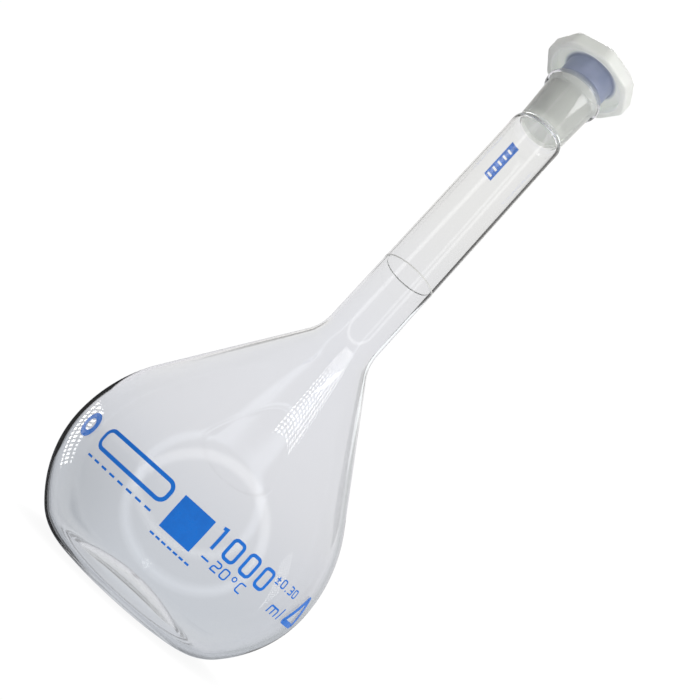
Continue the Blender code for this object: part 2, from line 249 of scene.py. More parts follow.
def glass_outline():
    """The whole glass section as one line from the axis to the axis: up the outside, over the rim and down
    the inside. Also gives where its ground face starts and ends."""
    outer = body_outline()
    inner = [(0.0, PUNT_HEIGHT + BASE_WALL)] + offset_inside(outer)
    bead_centre = (BEAD_RADIUS - BEAD_DEPTH, RIM_Z - BEAD_HALF_HEIGHT)
    bead = arc(bead_centre, (BEAD_DEPTH, BEAD_HALF_HEIGHT), -BEAD_START, 90.0, 22)
    start = math.radians(BEAD_START)
    turn = math.atan2(BEAD_DEPTH * math.sin(start), BEAD_HALF_HEIGHT * math.cos(start))
    waist = socket_bore(bead[0][1]) + SOCKET_WALL
    groove = (bead[0][0] - waist) / (1.0 - math.cos(turn))
    centre = (waist + groove, bead[0][1] - groove * math.sin(turn))
    points = outer + line(outer[-1], (waist, centre[1]), 10)
    points += arc(centre, (groove, groove), 180.0, 180.0 - math.degrees(turn), 8)[1:] + bead[1:]
    points.append((MOUTH_BORE + LIP_WIDTH, RIM_Z - LIP_DROP))
    points.append((MOUTH_BORE, MOUTH_Z))
    ground_start = len(points)
    points += line((MOUTH_BORE, MOUTH_Z), (socket_bore(SEAM_Z), SEAM_Z), 14)
    ground_end = len(points) - 1
    points.append((socket_bore(SEAM_Z) + THROAT_STEP, SEAM_Z - THROAT_STEP_DROP))
    throat_centre = (NECK_RADIUS - WALL - THROAT_WIDTH, SEAM_Z - THROAT_DROP)
    points += arc(throat_centre, (THROAT_WIDTH, THROAT_HEIGHT), THROAT_START, 0.0, 6)
    points += reversed(inner)
    return points, ground_start, ground_end


# ---- mesh helpers

def make_object(name, vertices, faces, body, smooth_angle=35.0, slots=None):
    """A piece from points and faces, welded, with its normals outwards, that rides on a body."""
    mesh = bpy.data.meshes.new(name)
    mesh.from_pydata(vertices, [], faces)
    if slots:
        mesh.polygons.foreach_set("material_index", slots)
    builder = bmesh.new()
    builder.from_mesh(mesh)
    bmesh.ops.remove_doubles(builder, verts=builder.verts, dist=WELD)
    bmesh.ops.recalc_face_normals(builder, faces=builder.faces)
    builder.to_mesh(mesh)
    builder.free()
    mesh.shade_smooth()
    mesh.set_sharp_from_angle(angle=math.radians(smooth_angle))
    piece = bpy.data.objects.new(name, mesh)
    bpy.context.collection.objects.link(piece)
    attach(piece, body)
    return piece


def spun(name, outline_at, body, sides, smooth_angle=35.0, material_of=None):
    """Spin about Z the outline that outline_at gives for each angle. Its ends lie on the axis, or else it
    is closed on itself."""
    vertices = []
    for step in range(sides):
        angle = 2.0 * math.pi * step / sides
        for radius, height in outline_at(angle):
            vertices.append((radius * math.cos(angle), radius * math.sin(angle), height))
    on_axis = [radius < WELD for radius, height in outline_at(0.0)]
    count = len(on_axis)
    spans = count - 1 if on_axis[0] else count
    faces = []
    slots = []
    for step in range(sides):
        here = step * count
        there = (step + 1) % sides * count
        for index in range(spans):
            following = (index + 1) % count
            corners = [here + index, there + index, there + following, here + following]
            if on_axis[index]:
                corners.remove(there + index)
            elif on_axis[following]:
                corners.remove(there + following)
            faces.append(corners)
            slots.append(material_of(index) if material_of else 0)
    return make_object(name, vertices, faces, body, smooth_angle, slots)


def turned(name, outline, body, sides=SIDES, material_of=None):
    """Spin one outline about Z."""
    return spun(name, lambda angle: outline, body, sides, material_of=material_of)


# ---- node helpers

class Graph:
    """Short calls for building a node tree."""

    def __init__(self, tree):
        self.tree = tree

    def node(self, kind, **settings):
        made = self.tree.nodes.new(kind)
        for key, value in settings.items():
            setattr(made, key, value)
        return made

    def put(self, socket, value):
        if hasattr(value, "is_output"):
            self.tree.links.new(value, socket)
        else:
            socket.default_value = value

    def math(self, operation, *values):
        made = self.node("ShaderNodeMath", operation=operation)
        for socket, value in zip(made.inputs, values):
            self.put(socket, value)
        return made.outputs[0]

    def vector(self, operation, *values, out="Vector"):
        made = self.node("ShaderNodeVectorMath", operation=operation)
        for socket, value in zip(made.inputs, values):
            self.put(socket, value)
        return made.outputs[out]

    def smooth(self, value, low, high, start=0.0, end=1.0):
        """start below low and end above high, with a smooth step between."""
        made = self.node("ShaderNodeMapRange", interpolation_type="SMOOTHSTEP")
        for socket, given in zip(made.inputs, (value, low, high, start, end)):
            self.put(socket, given)
        return made.outputs[0]

    def band(self, value, rise, fall):
        """1 between a smooth rise and a smooth fall, each given as (low, high), and 0 outside them."""
        return self.math("MULTIPLY", self.smooth(value, *rise), self.smooth(value, *fall, 1.0, 0.0))

    def mix(self, share, first, second):
        made = self.node("ShaderNodeMix", data_type="RGBA")
        self.put(made.inputs[0], share)
        self.put(made.inputs[6], first)
        self.put(made.inputs[7], second)
        return made.outputs[2]

    def noise(self, place, scale, detail=2.0, roughness=0.5):
        made = self.node("ShaderNodeTexNoise")
        self.put(made.inputs["Vector"], place)
        made.inputs["Scale"].default_value = scale
        made.inputs["Detail"].default_value = detail
        made.inputs["Roughness"].default_value = roughness
        return made.outputs["Fac"]

    def bump(self, height, strength, distance):
        made = self.node("ShaderNodeBump")
        made.inputs["Strength"].default_value = strength
        made.inputs["Distance"].default_value = distance
        self.put(made.inputs["Height"], height)
        return made.outputs["Normal"]


def principled(name, colour, roughness, **values):
    """A Principled material. Gives back the material, its graph, its shader and the object's coordinates."""
    made = bpy.data.materials.new(name)
    made.use_nodes = True
    shader = made.node_tree.nodes["Principled BSDF"]
    graph = Graph(made.node_tree)
    graph.put(shader.inputs["Base Color"], (*colour, 1.0))
    graph.put(shader.inputs["Roughness"], roughness)
    for key, value in values.items():
        graph.put(shader.inputs[key.replace("_", " ")], value)
    place = graph.node("ShaderNodeTexCoord").outputs["Object"]
    return made, graph, shader, place


# ---- materials

def clear_glass():
    """Blown borosilicate glass: perfectly clear, with the faint waviness of a blown wall."""
    made, graph, shader, place = principled(
        "clear_glass", (0.965, 0.972, 0.977), 0.0, Transmission_Weight=1.0, IOR=GLASS_IOR
    )
    stretched = graph.vector("MULTIPLY", place, (1.0, 1.0, 0.45))
    waves = graph.noise(stretched, 24.0, 1.0)
    ripples = graph.noise(stretched, 95.0, 1.0)
    height = graph.math("MULTIPLY_ADD", ripples, 0.12, waves)
    graph.put(shader.inputs["Normal"], graph.bump(height, 0.05, 0.30 * MM))
    return made


def ground_glass():
    """The ground cone: the same glass with a fine frosted face."""
    made, graph, shader, place = principled(
        "ground_glass", (0.97, 0.985, 0.955), 0.5, Transmission_Weight=0.45, IOR=GLASS_IOR
    )
    grain = graph.noise(place, 4200.0, 3.0, 0.7)
    patches = graph.noise(place, 160.0, 2.0)
    graph.put(shader.inputs["Roughness"], graph.smooth(patches, 0.3, 0.7, 0.42, 0.54))
    graph.put(shader.inputs["Normal"], graph.bump(grain, 0.25, 0.05 * MM))
    return made


def enamel(name, colour, dark, glow=0.0):
    """Fired screen-printed enamel: dense colour, satin, with a little thickness variation. The glow stands
    for the light that scatters through the thin print from the glass side."""
    made, graph, shader, place = principled(name, colour, 0.32, IOR=ENAMEL_IOR)
    cloud = graph.noise(place, 420.0, 3.0)
    speck = graph.noise(place, 2600.0, 2.0)
    share = graph.smooth(graph.math("MULTIPLY_ADD", speck, 0.35, cloud), 0.45, 0.95)
    graph.put(shader.inputs["Base Color"], graph.mix(share, (*colour, 1.0), (*dark, 1.0)))
    graph.put(shader.inputs["Roughness"], graph.smooth(cloud, 0.3, 0.7, 0.26, 0.4))
    graph.put(shader.inputs["Normal"], graph.bump(speck, 0.2, 0.02 * MM))
    shader.inputs["Emission Color"].default_value = (*colour, 1.0)
    shader.inputs["Emission Strength"].default_value = glow
    return made


def natural_polypropylene():
    """Milky moulded plastic. Round the collar its colour is painted blue, a stand-in for the blue cap seen
    through the thin wall, and the painted blue runs on to the inner roof of the recess as painted shade.
    A painted glow on the roof of the recess and on the closed tip stands for a little light coming
    through them."""
    made, graph, shader, place = principled(
        "natural_polypropylene", (0.84, 0.87, 0.86), 0.34, IOR=PLASTIC_IOR, Subsurface_Weight=0.9
    )
    shader.inputs["Subsurface Radius"].default_value = (1.0, 1.0, 1.0)
    shader.inputs["Subsurface Scale"].default_value = 4.0 * MM
    split = graph.node("ShaderNodeSeparateXYZ")
    graph.put(split.inputs[0], place)
    height = split.outputs["Z"]
    flat = graph.vector("MULTIPLY", place, (1.0, 1.0, 0.0))
    radius = graph.vector("LENGTH", flat, out="Value")

    # Painted blue: a stand-in for the blue cap seen through the thin collar wall, reaching on to the inner
    # roof of the recess as painted shade.
    near_axis = graph.smooth(radius, COLLAR_RADIUS, COLLAR_RADIUS + 2.9 * MM, 1.0, 0.0)
    rise = (MOUTH_Z - 4.0 * MM, MOUTH_Z + 0.5 * MM)
    fall = (RECESS_ROOF + 1.0 * MM, RECESS_ROOF + 3.0 * MM)
    painted_blue_and_shade = graph.math("MULTIPLY", near_axis, graph.band(height, rise, fall))

    # Painted light: a glow on the roof of the recess and on the closed tip, standing in for light coming
    # through the thin plastic and lifting the shade there.
    rise = (COLLAR_RADIUS + 0.3 * MM, COLLAR_RADIUS + 2.1 * MM)
    fall = (RECESS_RADIUS, RECESS_RADIUS + 2.0 * MM)
    under_head = graph.smooth(height, RECESS_ROOF, RECESS_ROOF + 2.0 * MM, 1.0, 0.0)
    roof = graph.math("MULTIPLY", graph.band(radius, rise, fall), under_head)
    tip = graph.smooth(height, PLUG_TIP + 0.5 * MM, PLUG_TIP + 3.0 * MM, 1.0, 0.0)
    glow = graph.math("MULTIPLY_ADD", roof, 0.13, graph.math("MULTIPLY", tip, 0.16))
    shader.inputs["Emission Color"].default_value = (0.95, 0.98, 0.90, 1.0)
    graph.put(shader.inputs["Emission Strength"], glow)

    cloud = graph.smooth(graph.noise(place, 130.0, 3.0), 0.3, 0.7)
    milky = graph.mix(cloud, (0.880, 0.905, 0.850, 1.0), (0.915, 0.94, 0.885, 1.0))
    # The painted blue of the collar and the inner recess roof, darker than the milky plastic.
    blue = graph.mix(cloud, (0.335, 0.375, 0.52, 1.0), (0.395, 0.435, 0.59, 1.0))
    graph.put(shader.inputs["Base Color"], graph.mix(painted_blue_and_shade, milky, blue))
    grain = graph.noise(place, 1500.0, 3.0)
    graph.put(shader.inputs["Roughness"], graph.smooth(grain, 0.25, 0.75, 0.28, 0.42))
    graph.put(shader.inputs["Normal"], graph.bump(grain, 0.2, 0.04 * MM))
    return made


def blue_plastic():
    """The cap's moulded plastic."""
    made, graph, shader, place = principled("blue_plastic", (0.07, 0.11, 0.46), 0.36, IOR=PLASTIC_IOR)
    grain = graph.noise(place, 1700.0, 3.0)
    cloud = graph.noise(place, 240.0, 2.0)
    tint = graph.mix(graph.smooth(cloud, 0.3, 0.7), (0.06, 0.10, 0.42, 1.0), (0.09, 0.14, 0.52, 1.0))
    graph.put(shader.inputs["Base Color"], tint)
    graph.put(shader.inputs["Roughness"], graph.smooth(grain, 0.25, 0.75, 0.3, 0.44))
    graph.put(shader.inputs["Normal"], graph.bump(grain, 0.2, 0.04 * MM))
    return made


# ---- glass

def make_glass(clear, ground):
    """Body and socket in one piece, as they are after they are fused."""
    outline, ground_start, ground_end = glass_outline()

    def slot_of(index):
        return 1 if ground_start <= index < ground_end else 0

    glass = turned("flask_glass", outline, "flask", material_of=slot_of)
    glass.data.materials.append(clear)
    glass.data.materials.append(ground)
    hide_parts("glass_body", "ground_socket")


# ---- printed marks

def on_surface(x, y, start_angle, start_z, radius_at, lift):
    """A point x to the right and y up from a start, on the glass. Angles run from the front, -Y, to +X."""
    z = start_z + y
    angle = start_angle + x / radius_at(start_z)
    radius = radius_at(z) + lift
    return (radius * math.sin(angle), -radius * math.cos(angle), z)


def rounded_path(corners, closed):
    """Corners (x, y, fillet) as a close-set line with rounded corners."""
    points = []
    count = len(corners)
    for index, (x, y, fillet) in enumerate(corners):
        here = Vector((x, y))
        if fillet <= 0.0 or (not closed and index in (0, count - 1)):
            points.append(here)
            continue
        before = (Vector(corners[index - 1][:2]) - here).normalized()
        after = (Vector(corners[(index + 1) % count][:2]) - here).normalized()
        half = before.angle(after) / 2.0
        reach = fillet / math.tan(half)
        centre = here + (before + after).normalized() * (fillet / math.sin(half))
        first = here + before * reach - centre
        last = here + after * reach - centre
        sweep = first.angle(last)
        for step in range(FILLET_STEPS + 1):
            share = step / FILLET_STEPS
            swept = first * (math.sin((1.0 - share) * sweep) / math.sin(sweep))
            swept += last * (math.sin(share * sweep) / math.sin(sweep))
            points.append(centre + swept)
    if closed:
        points.append(points[0])
    dense = [points[0]]
    for start, end in zip(points, points[1:]):
        steps = max(1, int((end - start).length / PEN_STEP))
        for step in range(1, steps + 1):
            dense.append(start.lerp(end, step / steps))
    return dense[:-1] if closed else dense


def stroke(corners, width, closed=False):
    """The two edges of a pen stroke along a path."""
    path = rounded_path(corners, closed)
    count = len(path)
    left = []
    right = []
    for index, here in enumerate(path):
        before = path[index - 1] if closed or index else here
        after = path[(index + 1) % count] if closed or index < count - 1 else here
        into = (here - before).normalized() if before != here else (after - here).normalized()
        out = (after - here).normalized() if after != here else into
        normal_in = Vector((-into.y, into.x))
        normal_out = Vector((-out.y, out.x))
        normal = (normal_in + normal_out).normalized()
        reach = width / 2.0 / max(MITRE_LIMIT, normal.dot(normal_in))
        left.append(here + normal * reach)
        right.append(here - normal * reach)
    return left, right, closed


def rectangle(x, y, width, height, columns=None, rows=None):
    """A filled rectangle as rows of points, fine enough to follow the glass."""
    columns = columns or max(1, int(width / PRINT_STEP))
    rows = rows or max(1, int(height / PRINT_STEP))
    grid = []
    for row in range(rows + 1):
        z = y + height * row / rows
        grid.append([Vector((x + width * column / columns, z)) for column in range(columns + 1)])
    return grid


class Print:
    """Thin closed enamel shapes, bent on to the glass and kept in one mesh."""

    def __init__(self, radius_at):
        self.radius_at = radius_at
        self.vertices = []
        self.faces = []

    def sheet(self, grid, angle, z, closed=False):
        """A sheet with a thickness from rows of points. With closed, its last row joins its first."""
        rows = len(grid)
        columns = len(grid[0])
        first = len(self.vertices)
        for lift in (LIFT, LIFT + ENAMEL):
            for points in grid:
                for point in points:
                    self.vertices.append(on_surface(point.x, point.y, angle, z, self.radius_at, lift))
        skin = rows * columns

        def at(row, column, side):
            return first + side * skin + row % rows * columns + column

        spans = rows if closed else rows - 1
        for row in range(spans):
            for column in range(columns - 1):
                for side in (0, 1):
                    corner = (at(row, column, side), at(row, column + 1, side))
                    corner += (at(row + 1, column + 1, side), at(row + 1, column, side))
                    self.faces.append(corner)
            for column in (0, columns - 1):
                low = (at(row, column, 0), at(row + 1, column, 0))
                self.faces.append(low + (at(row + 1, column, 1), at(row, column, 1)))
        if not closed:
            for row in (0, rows - 1):
                for column in range(columns - 1):
                    low = (at(row, column, 0), at(row, column + 1, 0))
                    self.faces.append(low + (at(row, column + 1, 1), at(row, column, 1)))

    def strokes(self, drawn, angle, z):
        """Pen strokes, each with a middle line so that it follows the glass across its width too."""
        for left, right, closed in drawn:
            grid = [[a, (a + b) / 2.0, b] for a, b in zip(left, right)]
            self.sheet(grid, angle, z, closed)

    def finish(self, name, finish, body, slot):
        """All the sheets so far as one piece."""
        piece = make_object(name, self.vertices, self.faces, body)
        piece.data.materials.append(finish)
        return piece


GLYPH_WIDTHS = {".": 0.3, "l": 0.55, "1": 0.55, "m": 1.35}      # in widths of a cell


def glyph(character, x, y, width, height, pen):
    """Plain block figures in a cell, drawn with a pen of a given width."""
    r = x + width
    t = y + height
    m = y + height / 2.0
    c = min(width, height) * 0.32
    cx = x + width / 2.0
    if character == "0":
        return [stroke([(x, y, c), (r, y, c), (r, t, c), (x, t, c)], pen, True)]
    if character == "1":
        stem = x + pen * 1.3
        flag = (x + pen * 0.2, t - pen * 0.2, 0.0)
        return [stroke([flag, (stem, t, 0.0), (stem, y - pen / 2.0, 0.0)], pen)]
    if character == "2":
        return [stroke([(x, t, 0.0), (r, t, c), (r, m, c), (x, m, c), (x, y, 0.0), (r, y, 0.0)], pen)]
    if character == "3":
        return [
            stroke([(x, t, 0.0), (r, t, c), (r, y, c), (x, y, 0.0)], pen),
            stroke([(x + width * 0.25, m, 0.0), (r, m, 0.0)], pen),
        ]
    if character == "C":
        return [stroke([(r, t, 0.0), (x, t, c), (x, y, c), (r, y, 0.0)], pen)]
    if character == "o":
        half = width * 0.3
        b = t - 2.0 * half
        k = half * 0.9
        ring = [(cx - half, b, k), (cx + half, b, k), (cx + half, t, k), (cx - half, t, k)]
        return [stroke(ring, pen * 0.8, True)]
    if character == "m":
        top = y + height * 0.62
        return [
            stroke([(x, y, 0.0), (x, top, 0.0)], pen),
            stroke([(x, top, 0.0), (r, top, c * 0.6), (r, y, 0.0)], pen),
            stroke([(cx, top, 0.0), (cx, y, 0.0)], pen),
        ]
    if character == "l":
        return [stroke([(cx, y, 0.0), (cx, t, 0.0)], pen)]
    if character == "+":
        low = y + height * 0.2
        bar = low + height * 0.35
        return [
            stroke([(x, bar, 0.0), (r, bar, 0.0)], pen),
            stroke([(cx, low + height * 0.7, 0.0), (cx, low, 0.0)], pen),
            stroke([(x, y, 0.0), (r, y, 0.0)], pen),
        ]
    if character == ".":
        return [stroke([(cx, y - pen / 2.0, 0.0), (cx, y + pen / 2.0, 0.0)], pen)]
    return []


def write(target, text, degrees, z, cell, gap, pen):
    """A row of figures from an angle round from the front, standing on height z. cell is (width, height)."""
    x = 0.0
    for character in text:
        width = cell[0] * GLYPH_WIDTHS.get(character, 1.0)
        target.strokes(glyph(character, x, 0.0, width, cell[1], pen), math.radians(degrees), z)
        x += width + gap


def dashes(target, degrees, z, count, length, gap, height):
    """A row of plain bars."""
    for index in range(count):
        bar = rectangle(index * (length + gap), 0.0, length, height)
        target.sheet(bar, math.radians(degrees), z)


def loop(target, corners, degrees, z, fillet, pen):
    """A closed line round corners (x, y) in millimetres, all with the same fillet."""
    rounded = [(x * MM, y * MM, fillet) for x, y in corners]
    target.strokes([stroke(rounded, pen, True)], math.radians(degrees), z)


def make_square(blue):
    low = SQUARE[0].z
    side = SQUARE[1].z - low
    middle = (SQUARE[0].x + SQUARE[1].x) / 2.0
    angle = math.asin(middle / bulb_radius(low + side / 2.0))
    square = Print(bulb_radius)
    square.sheet(rectangle(-side / 2.0, 0.0, side, side, 16, 16), angle, low)
    patch = square.finish("capacity_square_enamel", blue, "flask", "blue_enamel")
    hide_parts("capacity_square")


def make_printed_marks(blue):
    """Numbers and units, with plain shapes in place of the name, the small print and the class."""
    marks = Print(bulb_radius)
    write(marks, "1000", 10.7, 38.8 * MM, (4.9 * MM, 8.1 * MM), gap=3.75 * MM, pen=1.35 * MM)
    write(marks, "20oC", 16.7, 32.8 * MM, (2.8 * MM, 3.7 * MM), gap=1.5 * MM, pen=0.62 * MM)
    write(marks, "+0.30", 38.9, 44.7 * MM, (2.2 * MM, 3.2 * MM), gap=1.5 * MM, pen=0.6 * MM)
    write(marks, "ml", 46.0, 34.6 * MM, (4.3 * MM, 5.3 * MM), gap=1.6 * MM, pen=0.75 * MM)
    dashes(marks, 11.6, 33.8 * MM, 1, length=3.4 * MM, gap=0.0, height=0.75 * MM)
    dashes(marks, -6.6, 28.2 * MM, 7, length=1.9 * MM, gap=0.85 * MM, height=0.8 * MM)
    dashes(marks, -44.5, 33.4 * MM, 8, length=2.8 * MM, gap=2.0 * MM, height=0.85 * MM)
    triangle = ((0.0, 0.0), (12.4, 0.0), (6.2, 13.4))
    loop(marks, triangle, 58.6, 36.0 * MM, fillet=0.6 * MM, pen=2.4 * MM)
    panel = ((0.0, 0.0), (37.0, 0.0), (37.0, 8.0), (0.0, 8.0))
    loop(marks, panel, -43.5, 38.4 * MM, fillet=3.0 * MM, pen=1.6 * MM)
    badge = ((0.0, 0.0), (8.0, 0.0), (8.0, 8.0), (0.0, 8.0))
    loop(marks, badge, -58.5, 38.4 * MM, fillet=3.9 * MM, pen=2.6 * MM)
    marks.finish("printed_marks", blue, "flask", "blue_enamel")


def make_fill_line(white):
    middle = (RING[0].z + RING[1].z) / 2.0
    half = (RING[1].z - RING[0].z) / 2.0
    inner = NECK_RADIUS + LIFT
    outer = inner + ENAMEL
    crown = half * 0.8
    outline = [(inner, middle - half), (outer, middle - crown)]
    outline += [(outer, middle + crown), (inner, middle + half)]
    ring = turned("fill_line_enamel", outline, "flask")
    ring.data.materials.append(white)
    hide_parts("graduation_ring")


def make_label(blue):
    """The label on the back of the neck: a frame with bars across it, and plain slits between them."""
    slits = 5
    width = 5.4 * MM
    edge = 1.25 * MM
    angle = math.radians(-161.7)
    low = LABEL[0].z
    height = LABEL[1].z - low
    start = -width / 2.0
    inside = width - 2.0 * edge
    pitch = (height - 2.0 * edge) / slits
    slit = pitch * 0.32
    label = Print(neck_radius)
    for x in (start, start + edge + inside):
        label.sheet(rectangle(x, 0.0, edge, height, 3, 22), angle, low)
    for y in (0.0, height - edge):
        label.sheet(rectangle(start + edge, y, inside, edge, 4, 2), angle, low)
    for index in range(slits):
        y = edge + index * pitch + slit
        label.sheet(rectangle(start + edge, y, inside, pitch - slit, 4, 2), angle, low)
    piece = label.finish("neck_label_enamel", blue, "flask", "blue_enamel")
    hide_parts("neck_label")


# ---- stopper

def head_radius(angle):
    """Radius of the head's outline: an octagon with rounded corners, with a corner on each of X and Y."""
    corner = math.pi / 4.0
    away = (angle + corner / 2.0) % corner - corner / 2.0
    centre = (APOTHEM - CORNER_ROUND) / math.cos(corner / 2.0)
    tangent = corner / 2.0 - math.atan(centre * math.sin(corner / 2.0) / APOTHEM)
    if abs(away) < tangent:
        return centre * math.cos(away) + math.sqrt(CORNER_ROUND ** 2 - (centre * math.sin(away)) ** 2)
    return APOTHEM / math.cos(corner / 2.0 - abs(away))


def shell_rings():
    """Section of the moulding from the tip round to its inside, as (radius, height, share). The share of
    the head's outline is added to the radius."""
    top_radius = MOUTH_BORE - PLUG_GAP
    tip_radius = top_radius - (MOUTH_Z - PLUG_TIP) * TAPER
    tip_centre = (tip_radius - TIP_ROUND, PLUG_TIP + TIP_ROUND)
    outside = [(0.0, PLUG_TIP), (tip_radius * TIP_FLAT, PLUG_TIP)]
    outside += arc(tip_centre, (TIP_ROUND, TIP_ROUND), -90.0, 0.0, 5)
    outside += line((tip_radius, tip_centre[1]), (top_radius, MOUTH_Z), 8)
    outside += line((top_radius, MOUTH_Z), (COLLAR_RADIUS, MOUTH_Z + COLLAR_RISE), 4)

    blend_centre = (COLLAR_RADIUS + RECESS_BLEND, RECESS_ROOF - RECESS_BLEND)
    outside += arc(blend_centre, (RECESS_BLEND, RECESS_BLEND), 180.0, 90.0, 6)
    roof_centre = (RECESS_RADIUS - RECESS_ROUND, RECESS_ROOF - RECESS_ROUND)
    outside += arc(roof_centre, (RECESS_ROUND, RECESS_ROUND), 90.0, 0.0, 5)
    lip_centre = (RECESS_RADIUS + RECESS_DRAFT + RECESS_LIP, HEAD_BOTTOM + RECESS_LIP)
    outside += arc(lip_centre, (RECESS_LIP, RECESS_LIP), 180.0, 270.0, 4)

    edge = arc((-EDGE_ROUND, HEAD_BOTTOM + EDGE_ROUND), (EDGE_ROUND, EDGE_ROUND), -90.0, 0.0, 6)
    edge += arc((-EDGE_ROUND, HEAD_TOP - EDGE_ROUND), (EDGE_ROUND, EDGE_ROUND), 0.0, 90.0, 6)

    seat = HEAD_TOP - SEAT_DEPTH
    bore_end = seat - BORE_DEPTH
    floor = PLUG_TIP + TIP_WALL
    floor_radius = top_radius - (MOUTH_Z - floor) * TAPER - PLUG_WALL
    inside = [(SEAT_RADIUS + SEAT_BEVEL, HEAD_TOP), (SEAT_RADIUS, HEAD_TOP - SEAT_BEVEL)]
    inside += [(SEAT_RADIUS, seat), (BORE_RADIUS, seat), (BORE_RADIUS, bore_end)]
    inside += [(BORE_RADIUS - BORE_STEP, bore_end - BORE_STEP_DROP), (floor_radius, floor), (0.0, floor)]
    rings = [(radius, height, 0.0) for radius, height in outside]
    rings += [(radius, height, 1.0) for radius, height in edge]
    return rings + [(radius, height, 0.0) for radius, height in inside]


def make_shell(plastic):
    rings = shell_rings()

    def outline_at(angle):
        head = head_radius(angle)
        return [(radius + share * head, height) for radius, height, share in rings]

    shell = spun("stopper_moulding", outline_at, "stopper", HEAD_SIDES, smooth_angle=40.0)
    shell.data.materials.append(plastic)
    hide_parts("stopper_shell")


def make_insert(plastic):
    """The blue cap: a dished top with a flange, and an open tube below it."""
    top = INSERT[1].z
    low = INSERT[0].z
    flange_bottom = HEAD_TOP - CAP_FLANGE
    flange = SEAT_RADIUS - CAP_GAP
    tube = BORE_RADIUS - CAP_GAP
    dish = top - DISH_DEPTH
    roof = flange_bottom - CAP_ROOF
    outline = [(0.0, dish), (DISH_RADIUS - CAP_ROUND, dish), (DISH_RADIUS, top)]
    outline += arc((flange - CAP_ROUND, top - CAP_ROUND), (CAP_ROUND, CAP_ROUND), 90.0, 0.0, 5)
    outline += [(flange, flange_bottom), (tube, flange_bottom)]
    outline += line((tube, flange_bottom), (tube, low + CAP_ROUND), 4)
    outline += [(tube - CAP_ROUND, low), (tube - CAP_WALL, low), (tube - CAP_WALL, roof), (0.0, roof)]
    insert = turned("stopper_cap", outline, "stopper_core", CAP_SIDES)
    insert.data.materials.append(plastic)
    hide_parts("stopper_insert")


# ---- studio

def heading(azimuth, elevation):
    """Unit direction. Azimuth runs from the front, -Y, towards +X."""
    a = math.radians(azimuth)
    e = math.radians(elevation)
    return Vector((math.sin(a) * math.cos(e), -math.cos(a) * math.cos(e), math.sin(e)))


def show_to(item, **rays):
    """Which kinds of ray see an object."""
    for ray, seen in rays.items():
        setattr(item, "visible_" + ray, seen)


def emission(name, strength, colour=WHITE):
    made = bpy.data.materials.new(name)
    made.use_nodes = True
    made.node_tree.nodes.clear()
    graph = Graph(made.node_tree)
    out = graph.node("ShaderNodeOutputMaterial")
    light = graph.node("ShaderNodeEmission")
    graph.put(light.inputs["Color"], (*colour, 1.0))
    graph.put(light.inputs["Strength"], strength)
    graph.put(out.inputs["Surface"], light.outputs[0])
    return made


def egg_crate(graph, strength, grid):
    """Dims a softbox along two sets of bars, given as (direction, pitch) pairs."""
    place = graph.node("ShaderNodeTexCoord").outputs["Object"]
    power = strength
    for way, pitch in grid:
        distance = graph.vector("DOT_PRODUCT", place, Vector(way).normalized(), out="Value")
        wave = graph.math("PINGPONG", distance, pitch / 2.0)
        power = graph.math("MULTIPLY", graph.smooth(wave, pitch * 0.12, pitch * 0.30), power)
    seen = graph.math("ADD", power, 0.5)
    graph.put(graph.tree.nodes["Emission"].inputs["Strength"], seen)


def thin_out(graph, corners, deep):
    """Lets a card show fully only to light that went through one wall, at the rim. Light that went
    through both walls meets a soft-edged patch of it, with the share deep in the middle."""
    middle = sum((Vector(corner) for corner in corners), Vector()) / len(corners)
    reach = [max(abs(corner[axis] - middle[axis]) for corner in corners) for axis in range(3)]
    scale = [1.0 / size if size > 1.0 * MM else 0.0 for size in reach]
    place = graph.node("ShaderNodeTexCoord").outputs["Object"]
    away = graph.vector("MULTIPLY", graph.vector("SUBTRACT", place, middle), scale)
    soft = graph.smooth(graph.vector("LENGTH", away, out="Value"), 0.3, 1.0, deep, 0.0)
    depth = graph.node("ShaderNodeLightPath").outputs["Transmission Depth"]
    both_walls = graph.math("GREATER_THAN", depth, SURFACES_OF_A_WALL + 0.5)
    cover = graph.math("MULTIPLY_ADD", graph.math("SUBTRACT", soft, 1.0), both_walls, 1.0)
    clear = graph.node("ShaderNodeBsdfTransparent")
    blend = graph.node("ShaderNodeMixShader")
    graph.put(blend.inputs[0], cover)
    graph.put(blend.inputs[1], clear.outputs[0])
    graph.put(blend.inputs[2], graph.tree.nodes["Emission"].outputs[0])
    graph.put(graph.tree.nodes["Material Output"].inputs["Surface"], blend.outputs[0])


def make_card(name, corners, strength, colour=WHITE, grid=None, glossy=False, through=True, deep=0.0):
    """A flat card, hidden from the camera: glossy ones show in reflections, and through ones to light that
    comes through the glass. Dark cards are flags. A grid makes a softbox behind an egg crate."""
    mesh = bpy.data.meshes.new(name)
    mesh.from_pydata(corners, [], [(0, 1, 2, 3)])
    finish = emission(name, strength, colour)
    mesh.materials.append(finish)
    if grid:
        egg_crate(Graph(finish.node_tree), strength, grid)
    if through:
        thin_out(Graph(finish.node_tree), corners, deep)
    card = bpy.data.objects.new(name, mesh)
    bpy.context.collection.objects.link(card)
    show_to(card, camera=False, diffuse=False, shadow=False, glossy=glossy, transmission=through)


def facing_front(y, corners):
    return [(x, y, z) for x, z in corners]


def upright(y, left, right, low, high):
    return facing_front(y, ((left, low), (right, low), (right, high), (left, high)))


def level(z, corners):
    return [(x, y, z) for x, y in corners]


def make_flags():
    """Dark cards behind the flask, for the dark lines along its edges."""
    make_card("flag_left", upright(0.75, -0.579, -0.267, -0.160, 0.182), BLACK_CARD, glossy=True)
    make_card("flag_core", upright(0.74, -0.560, -0.190, -0.060, 0.165), BLACK_CARD, deep=0.35)
    low = facing_front(0.75, ((-0.566, -0.042), (-0.386, 0.102), (-0.014, -0.342), (-0.194, -0.486)))
    make_card("flag_low", low, BLACK_CARD, glossy=True)
    make_card("flag_neck", upright(0.725, 0.180, 0.800, 0.430, 1.150), BLACK_CARD, deep=1.0)
    make_card("flag_neck_left", upright(0.725, -0.485, -0.345, 0.430, 1.150), 0.25, deep=1.0)


